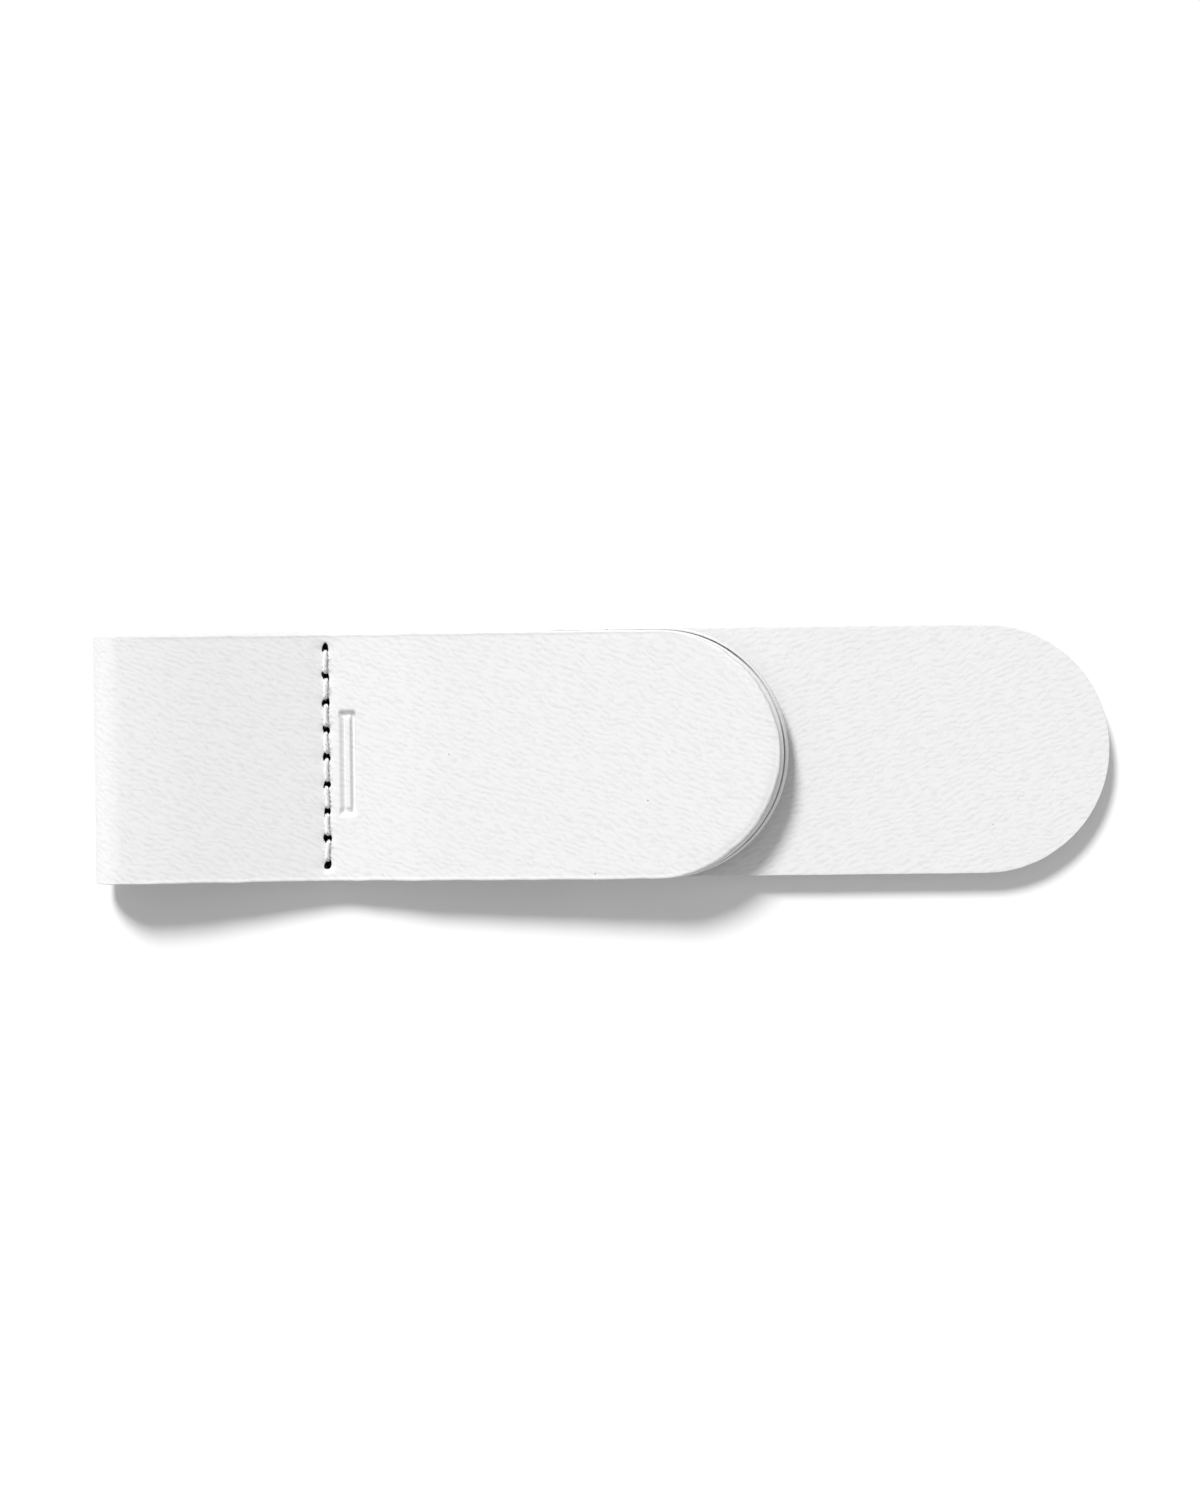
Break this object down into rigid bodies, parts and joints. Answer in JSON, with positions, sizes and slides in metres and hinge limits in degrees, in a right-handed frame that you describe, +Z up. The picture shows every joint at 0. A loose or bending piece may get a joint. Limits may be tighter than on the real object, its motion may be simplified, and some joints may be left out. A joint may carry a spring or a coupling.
{
  "type": "money clip",
  "caption": "Magnetic money clip: a lined leather strap, folded and sewn across behind the fold, with a long back panel and a shorter lifting flap, both round at the tip.",
  "frame": {"origin": "below the middle of the strap, on the face that the back panel lies on", "axes": "+X along the strap from the fold to the back panel's tip, +Y across the strap, +Z up from the back panel to the flap"},
  "size_m": [0.103, 0.0254, 0.0068],
  "materials": {
    "outer_leather": "fine-grained white leather, satin",
    "lining_leather": "fine-grained white leather, satin",
    "core_board": "dark bonded leather board, matt",
    "magnet_plating": "nickel plating, satin",
    "thread": "waxed white twisted thread"
  },
  "bodies": {
    "back": {"outer_leather_back": "outer_leather", "lining_back": "lining_leather", "core_back": "core_board", "magnet_back": "magnet_plating", "needle_thread": "thread", "bobbin_thread": "thread"},
    "flap": {"outer_leather_flap": "outer_leather", "lining_flap": "lining_leather", "core_flap": "core_board", "magnet_flap": "magnet_plating"}
  },
  "joints": [
    {"name": "flap_lift", "type": "hinge", "parent": "back", "child": "flap", "pos_m": [-0.0272, 0, 0.00325], "axis": [0, -1, 0], "range_deg": [-1, 110], "stiffness_Nm_per_rad": 0.1, "springref_deg": 0.34}
  ]
}
